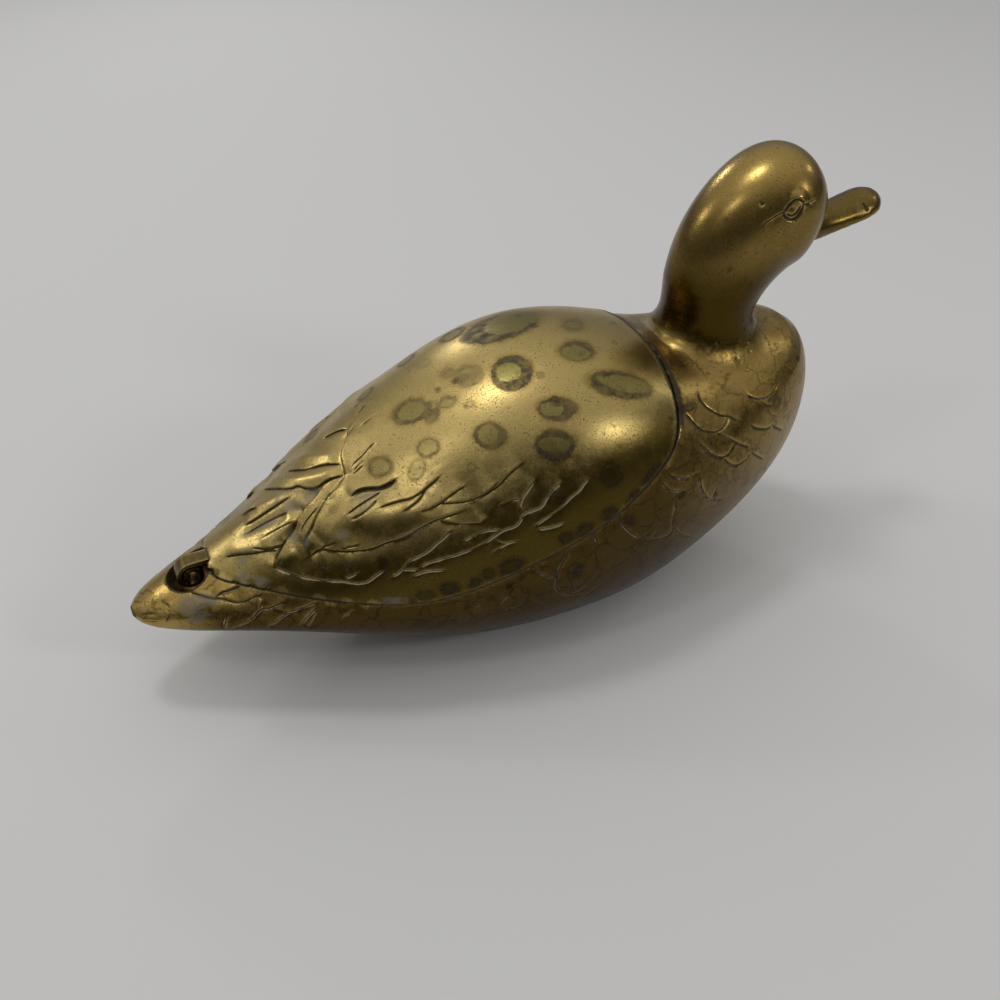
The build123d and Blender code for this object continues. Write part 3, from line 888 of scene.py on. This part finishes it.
body = dict(
    voxel=1.12 * mm, fairing=30, keepEdge=1.2 * mm, rimKeep=2 * mm, insideShare=0.08, plainTop=80 * mm,
    plainReach=3 * mm, plainShare=0.25, axisHeight=52 * mm, insideTop=100 * mm, fine=1.6 * mm,
    # The seam and slot settings paint shade along the seam and the slot by the neck; the tones paint faces
    # turned aside or down darker, as patina and painted shade.
    finest=0.5 * mm, seamShadeReach=0.7 * mm, seamShade=1.3, slotShadeReach=3.2 * mm, slotShade=1.2,
    slotSpan=(50 * mm, 66 * mm), slotReach=7 * mm, tones=(0.0, 0.78, 0.10, 0.92), jointBlend=2.5 * mm,
    breastWorn=0.56, breastBack=20 * mm, breastFront=120 * mm, breastFade=20 * mm, tailWorn=1.0,
    tailEnd=-160 * mm, tailFront=-128 * mm, neckMiddle=89 * mm, neckJoint=112.87 * mm, jointBand=2 * mm,
    jointMerge=0.01 * mm, jointReach=34 * mm, rootMiddle=108 * mm, rootReach=44 * mm, rootStep=0.14,
    rootBack=-25 * mm, rootFacing=-0.3, rootFlat=1.6, rootRounds=(90, 70, 60, 50),
    pitCut=dict(width=0.6 * mm, depth=0.35 * mm, darkening=0.7),
    flankScales=cutter(lift=0.12, reach=4, width=0.46, depth=0.4, shift=0.12, taper=4, dust=0.62, strokes=[
        ((532, 560), (533, 568), (541, 575), (550, 579), (557, 580)),
        ((568, 551), (565, 559), (560, 566), (557, 575), (555, 586), (557, 592), (563, 596), (572, 597),
         (581, 595)), ((568, 551), (574, 550), (580, 549)), ((593, 533), (595, 539), (598, 545)),
        ((571, 595), (580, 591), (588, 586)), ((583, 597), (592, 591), (604, 583)),
        ((500, 611), (510, 609), (522, 606)), ((511, 592), (503, 598), (499, 605)),
        ((479, 602), (472, 609)),
        ((618, 514), (620, 520), (624, 528), (634, 537), (648, 540), (660, 538), (669, 535), (673, 530),
         (672, 521), (675, 510), (675, 500)), ((641, 538), (650, 531)), ((652, 538), (657, 531)),
        ((673, 526), (677, 533), (684, 536), (690, 537)),
        ((661, 481), (664, 486), (669, 490), (674, 492), (680, 492), (687, 491)),
        ((667, 472), (672, 477), (679, 479), (688, 478), (694, 475), (700, 473)),
        ((700, 474), (700, 482), (702, 489), (705, 495), (709, 500), (716, 500), (722, 499)),
        ((713, 497), (717, 487))]),
    breastScales=cutter(lift=0.2, reach=4, width=0.46, depth=0.42, shift=0.16, taper=4, dust=0.55, strokes=[
        ((699, 391), (700, 399), (705, 406), (713, 412), (722, 416), (729, 416), (735, 420), (742, 422)),
        ((685, 412), (689, 417), (694, 424), (701, 430), (709, 432), (717, 432), (723, 428), (726, 423),
         (729, 417)), ((717, 432), (725, 437), (732, 440), (741, 445), (750, 447)),
        ((699, 443), (706, 449), (711, 454), (717, 457), (724, 457), (729, 453), (733, 447), (735, 442)),
        ((724, 457), (728, 463), (735, 466), (741, 463), (747, 459), (750, 452)),
        ((747, 392), (749, 396), (755, 399), (763, 399), (769, 396), (775, 390), (777, 384)),
        ((763, 402), (766, 405), (772, 406)), ((750, 424), (755, 428), (763, 429), (769, 428), (772, 424)),
        ((772, 424), (776, 428), (782, 430)), ((751, 452), (755, 455), (763, 459))]),
    tailFeathers=cutter(lift=0.42, reach=4.5, width=0.38, depth=0.42, shift=0.3, taper=4, dust=0.8, strokes=[
        ((190, 592), (200, 595), (212, 598), (222, 599), (232, 602), (238, 603), (246, 601), (255, 597),
         (262, 594)), ((215, 598), (222, 592), (229, 591), (235, 588), (240, 586)),
        ((228, 615), (225, 622), (224, 629), (230, 629), (240, 626), (249, 622), (255, 616), (259, 611),
         (263, 609), (270, 609), (277, 605), (284, 601), (288, 600)), ((260, 608), (262, 603), (264, 600)),
        ((272, 609), (281, 610), (290, 612), (296, 610), (302, 608), (310, 605), (316, 603), (320, 602)),
        ((268, 628), (275, 624), (279, 620), (284, 616), (290, 613), (294, 612)),
        ((300, 627), (305, 621), (308, 617), (312, 613), (315, 609), (318, 606)),
        ((309, 628), (314, 621), (318, 613)), ((343, 620), (347, 615), (352, 612), (356, 610))]),
    tailTip=cutter(lift=0.2, reach=3, width=0.35, depth=0.3, shift=0.2, taper=3, dust=0.2, strokes=[
        ((137, 615), (143, 614), (150, 613), (158, 614)), ((160, 600), (166, 604), (170, 607)),
        ((140, 621), (150, 621), (160, 622)), ((165, 622), (168, 617), (170, 614))]),
    rootPits=[((717, 342),), ((747, 342),), ((750, 352),), ((749, 368),), ((722, 371),), ((737, 359),)],
    spots=[
        ((689, 408), (8, 5), -30, (3, 1.5), 0.8, (691, 407)), ((777, 402), (5, 7), 10, (2, 3), 0.7),
        ((724, 392), (6, 5), 0, (5, 4), 0.35), ((736, 408), (6, 4), 0, (3, 2), 0.4),
        ((577, 571), (6, 8), 30, (3, 4), 0.8), ((541, 594), (4, 3), 0, (2, 1.5), 0.6),
        ((629, 520), (6, 5), 0, (3, 2), 0.7), ((203, 611), (9, 6), -20, (8, 5), 0.9)],
    bloom=[((190, 607), (11, 13), -30), ((208, 600), (13, 6), 10), ((200, 617), (14, 5), -20)],
    farBloom=[((640, 323), (24, 9), -8)],
)

head = dict(
    fine=5.0 * mm, finest=2.4 * mm, cheekWorn=0.42, cheekLow=128 * mm, cheekHigh=152 * mm,
    billBack=126 * mm, billFront=134 * mm, billTone=0.45, billSwell=0.7 * mm, swellEnds=8 * mm,
    pitCut=dict(width=0.7 * mm, depth=0.6 * mm), eyeCut=dict(width=0.75 * mm, depth=0.05 * mm),
    nostrilCut=dict(width=0.8 * mm, depth=0.2 * mm, darkening=0.9),
    neckPitCut=dict(width=0.5 * mm, depth=0.4 * mm, darkening=0.8),
    eyeLids=cutter(lift=0.12, reach=1.3, width=0.55, depth=0.7, shift=0.1, taper=1.2, strokes=[
        ((783, 214), (787, 219), (791, 221), (796, 219), (800, 214), (803, 208), (804, 203)),
        ((804, 203), (800, 200), (796, 200), (792, 203), (788, 207), (785, 213)),
        ((787, 213), (790, 216), (794, 215), (798, 211), (801, 205))]),
    eyeShade=[
        ((784, 213), (786, 210), (789, 206), (792, 203), (796, 200), (801, 200), (804, 203)),
        ((784, 215), (787, 218), (791, 220), (796, 218), (800, 213), (803, 207))],
    creases=cutter(lift=0.1, reach=1.2, width=0.36, depth=0.5, shift=0, taper=2, strokes=[
        ((784, 212), (777, 216), (771, 220), (766, 223), (762, 226)), ((804, 204), (808, 204), (812, 207)),
        ((806, 204), (811, 202), (816, 199))]),
    mouth=cutter(lift=0, reach=2, width=0.6, depth=0.2, shift=0.2, taper=3, strokes=[
        ((817, 240), (826, 236), (836, 232), (846, 228), (856, 224), (866, 219), (874, 213))]),
    pits=[((762, 204),)],
    nostrils=[((863, 205), (866, 210))],
    nostrilGleam=[((858, 208), (1.6, 3.2), -10)],
    neckPits=[
        ((750, 283),), ((742, 294),), ((736, 308),), ((742, 321),), ((744, 329),), ((680, 303),),
        ((681, 316),)],
)


def bodyTone(points, shadedTone):
    # Hands wear the breast and the tail tip brighter than the sides.
    breast = softStep((points[:, 0] - body["breastBack"]) / (body["breastFront"] - body["breastBack"]))
    breast *= softStep((body["neckJoint"] - points[:, 2]) / body["breastFade"])
    tail = softStep((body["tailFront"] - points[:, 0]) / (body["tailFront"] - body["tailEnd"]))
    return np.maximum(shadedTone, np.maximum(body["breastWorn"] * breast, body["tailWorn"] * tail))


def headTone(points, shadedTone):
    # The cheeks are handled, the bill is not.
    cheek = softStep((points[:, 2] - head["cheekLow"]) / (head["cheekHigh"] - head["cheekLow"]))
    bill = softStep((points[:, 0] - head["billBack"]) / (head["billFront"] - head["billBack"]))
    return np.maximum(shadedTone, head["cheekWorn"] * cheek) * (1 - (1 - head["billTone"]) * bill)


def splitAtJoint(blank, name, keepAbove):
    bm = bmeshOf(blank.data)
    cut = bmesh.ops.bisect_plane(
        bm, geom=bm.verts[:] + bm.edges[:] + bm.faces[:], dist=body["jointMerge"],
        plane_co=(0, 0, body["neckJoint"]), plane_no=(0, 0, 1), clear_outer=not keepAbove,
        clear_inner=keepAbove)
    rim = [item for item in cut["geom_cut"] if isinstance(item, bmesh.types.BMEdge)]
    for edge in rim:
        edge.smooth = False
    bmesh.ops.triangle_fill(bm, edges=rim, use_beauty=True, use_dissolve=False,
                            normal=(0, 0, -1 if keepAbove else 1))
    bmesh.ops.recalc_face_normals(bm, faces=bm.faces[:])
    return meshObject(name, bm)


def castBodyAndHead():
    def fromNeck(place):
        return math.hypot(place.x - body["neckMiddle"], place.y)

    def atJoint(place):
        return abs(place.z - body["neckJoint"]) < body["jointBand"] and fromNeck(place) < body["jointReach"]

    blank, sharp = castBlank("bodyBlank", ["body_bowl", "head_and_neck"], body, atJoint)
    bm = bmeshOf(blank.data)

    def inRoot(vert, reach):
        high = body["rootFlat"] * (vert.co.z - body["rootMiddle"])
        return (vert.co.x - body["neckMiddle"] > body["rootBack"] and vert.normal.z > body["rootFacing"]
                and math.hypot(fromNeck(vert.co), high) < reach)

    for step, rounds in enumerate(body["rootRounds"]):
        reach = body["rootReach"] * (1 - body["rootStep"] * step)
        smoothVerts(bm, [vert for vert in bm.verts if inRoot(vert, reach)], rounds)
    bm.to_mesh(blank.data)
    tree = BVHTree.FromBMesh(bm)
    bm.free()
    print("body and head blank", len(blank.data.polygons), "faces")
    upper = splitAtJoint(blank, "headAndNeck", True)
    lower = splitAtJoint(blank, "bodyBowl", False)
    bpy.data.objects.remove(blank)
    return lower, upper, tree, sharp


def chaseBody(piece, tree, sharp):
    def isInside(place, normal):
        return (place.z < body["insideTop"] and sharp.find(place)[2] > body["rimKeep"]
                and facesIn(place, normal, body["axisHeight"]))

    def isPlain(place, normal):
        return (place.z < body["plainTop"] and not isInside(place, normal)
                and min(strokeTree.find(place)[2], sharp.find(place)[2]) > body["plainReach"])

    thinPoints(piece, isInside, body["insideShare"])
    traced = tracedCutters(tree, body, "flankScales", "breastScales", "tailFeathers", "tailTip")
    lines = linesOf(traced)
    pits = tracedLines(tree, body["rootPits"])
    strokeTree = lineTree(lines + pits, body["plainReach"] / 2)
    thinPoints(piece, isPlain, body["plainShare"])
    print("body thinned to", triangles(piece), "triangles")
    refine(piece, lines + pits, body["fine"])
    refine(piece, lines, body["finest"])
    chaser = Chaser(piece, body["axisHeight"], body["insideTop"], tree)
    chaser.feathers(traced)
    chaser.dents(pits, **body["pitCut"])
    chaser.spots(body["spots"])
    chaser.spots(body["spots"], side=-1)
    chaser.patches(body["bloom"])
    chaser.patches(body["farBloom"], sides=(1,))
    chaser.seamAndSlotShade(sharp, body)
    chaser.finish(body["tones"], bodyTone)


def chaseHead(piece, tree):
    traced = tracedCutters(tree, head, "eyeLids", "creases", "mouth")
    pits, neckPits = tracedLines(tree, head["pits"]), tracedLines(tree, head["neckPits"])
    nostrils = tracedLines(tree, head["nostrils"])
    lines = linesOf(traced) + pits + nostrils
    refine(piece, lines + neckPits, head["fine"])
    refine(piece, lines, head["finest"])
    chaser = Chaser(piece, body["axisHeight"], body["insideTop"], tree)
    along = chaser.points[:, 0]
    swell = softStep((along - head["billBack"]) / head["swellEnds"])
    swell = swell * softStep((cadHigh.x - along) / head["swellEnds"])
    chaser.rise += head["billSwell"] * swell
    chaser.feathers(traced)
    chaser.dents(pits, **head["pitCut"])
    chaser.dents(tracedLines(tree, head["eyeShade"]), **head["eyeCut"])
    chaser.dents(nostrils, **head["nostrilCut"])
    chaser.patches(head["nostrilGleam"])
    chaser.dents(neckPits, **head["neckPitCut"])
    chaser.finish(body["tones"], headTone)


# Tail curl: the rolled feather

curl = dict(voxel=0.3 * mm, fairing=3, keepEdge=0.35 * mm, tones=(0.1, 0.3, 0.0, 1.0))


def chaseCurl():
    piece, _ = castBlank("tailCurl", ["tail_curl"], curl)
    chaser = Chaser(piece, 0.0)
    chaser.finish(curl["tones"])
    return piece


finishes = dict(
    lid=agedBrass("goldenLidBrass", gold=(0.55, 0.41, 0.15, 1), brown=(0.090, 0.062, 0.012, 1),
                  roughness=0.32, drift=0.34),
    body=agedBrass("brownBodyBrass", gold=(0.44, 0.30, 0.09, 1), brown=(0.074, 0.046, 0.009, 1),
                   roughness=0.31, drift=0.34, crackle=0.6),
    head=agedBrass("polishedHeadBrass", gold=(0.44, 0.30, 0.09, 1), brown=(0.066, 0.040, 0.006, 1),
                   roughness=0.27, drift=0.26, gritty=0.55),
    curl=agedBrass("darkCurlBrass", gold=(0.40, 0.29, 0.11, 1), brown=(0.075, 0.050, 0.016, 1),
                   roughness=0.34, drift=0.3),
    braze=agedBrass("brazeMetal", gold=(0.48, 0.37, 0.18, 1), brown=(0.20, 0.14, 0.06, 1),
                    roughness=0.45, drift=0.6),
)

makeCamera()
castWalls = treeOf(*nodeMeshes("body_bowl", "head_and_neck", "lid", "tail_curl"))
dress(chaseLid(), finishes["lid"], "cover", "lid_brass", "lid")
print("lid chased")
bowl, headCasting, castTree, sharpLines = castBodyAndHead()
chaseBody(bowl, castTree, sharpLines)
dress(bowl, finishes["body"], "base", "body_brass", "body_bowl")
print("body chased")
chaseHead(headCasting, castTree)
dress(headCasting, finishes["head"], "base", "head_brass", "head_and_neck")
print("head chased")
dress(chaseCurl(), finishes["curl"], "cover", "curl_brass", "tail_curl")
print("curl chased")
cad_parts["neck_braze"].data.materials.clear()
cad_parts["neck_braze"].data.materials.append(finishes["braze"])

# Studio: pale floor, soft boxes where the photo's highlights come from

studio = dict(
    floorSize=12.0, floorColour=(0.80, 0.795, 0.785, 1), floorRoughness=0.9,
    skyColour=(1.0, 0.995, 0.985, 1), skyLean=(0.0, 0.20, 0.75), skyRange=(0.05, 0.85),
    skyLight=(0.12, 0.60), lampDistance=1.3,
    lamps={
        "overhead": dict(toward=(-0.13, 0.21, 0.97), size=0.24, power=2.0),
        "leftBox": dict(toward=(-0.58, -0.16, 0.80), size=0.16, power=0.6),
        "rightBox": dict(toward=(0.55, -0.66, 0.51), size=0.20, power=1.6),
        "sideBox": dict(toward=(0.83, -0.02, 0.56), size=0.10, power=0.24),
        "tailBox": dict(toward=(-0.64, 0.57, 0.52), size=0.16, power=0.85),
        "napeBox": dict(toward=(0.05, 0.92, 0.38), size=0.14, power=0.9),
    },
)


def buildStudio():
    bm = bmesh.new()
    bmesh.ops.create_grid(bm, x_segments=2, y_segments=2, size=studio["floorSize"] / 2)
    floor = meshObject("paleFloor", bm)
    paint = bpy.data.materials.new("paleFloorPaint")
    paint.use_nodes = True
    shader = paint.node_tree.nodes["Principled BSDF"]
    shader.inputs["Base Color"].default_value = studio["floorColour"]
    shader.inputs["Roughness"].default_value = studio["floorRoughness"]
    floor.data.materials.append(paint)
    floor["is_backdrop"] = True
    world = bpy.data.worlds.new("softRoom")
    world.use_nodes = True
    sky = world.node_tree
    glow = sky.nodes["Background"]
    glow.inputs["Color"].default_value = studio["skyColour"]
    way = addNode(sky, "TexCoord").outputs["Generated"]
    lean = addNode(sky, "VectorMath", {"operation": "DOT_PRODUCT"}, {0: way, 1: studio["skyLean"]})
    strength = ramped(sky, lean.outputs["Value"], *studio["skyRange"], *studio["skyLight"])
    sky.links.new(strength, glow.inputs["Strength"])
    bpy.context.scene.world = world
    middle = (cadLow + cadHigh) / 2
    for name, lamp in studio["lamps"].items():
        data = bpy.data.lights.new(name, "AREA")
        data.shape = "DISK"
        data.size = lamp["size"]
        data.energy = lamp["power"]
        light = bpy.data.objects.new(name, data)
        toward = Vector(lamp["toward"]).normalized()
        light.location = middle + toward * studio["lampDistance"]
        light.rotation_euler = toward.to_track_quat("Z", "Y").to_euler()
        bpy.context.collection.objects.link(light)


buildStudio()
print("studio built")
bpy.context.scene.view_settings.view_transform = "Standard"
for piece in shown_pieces():
    print(piece.name, triangles(piece), "triangles")
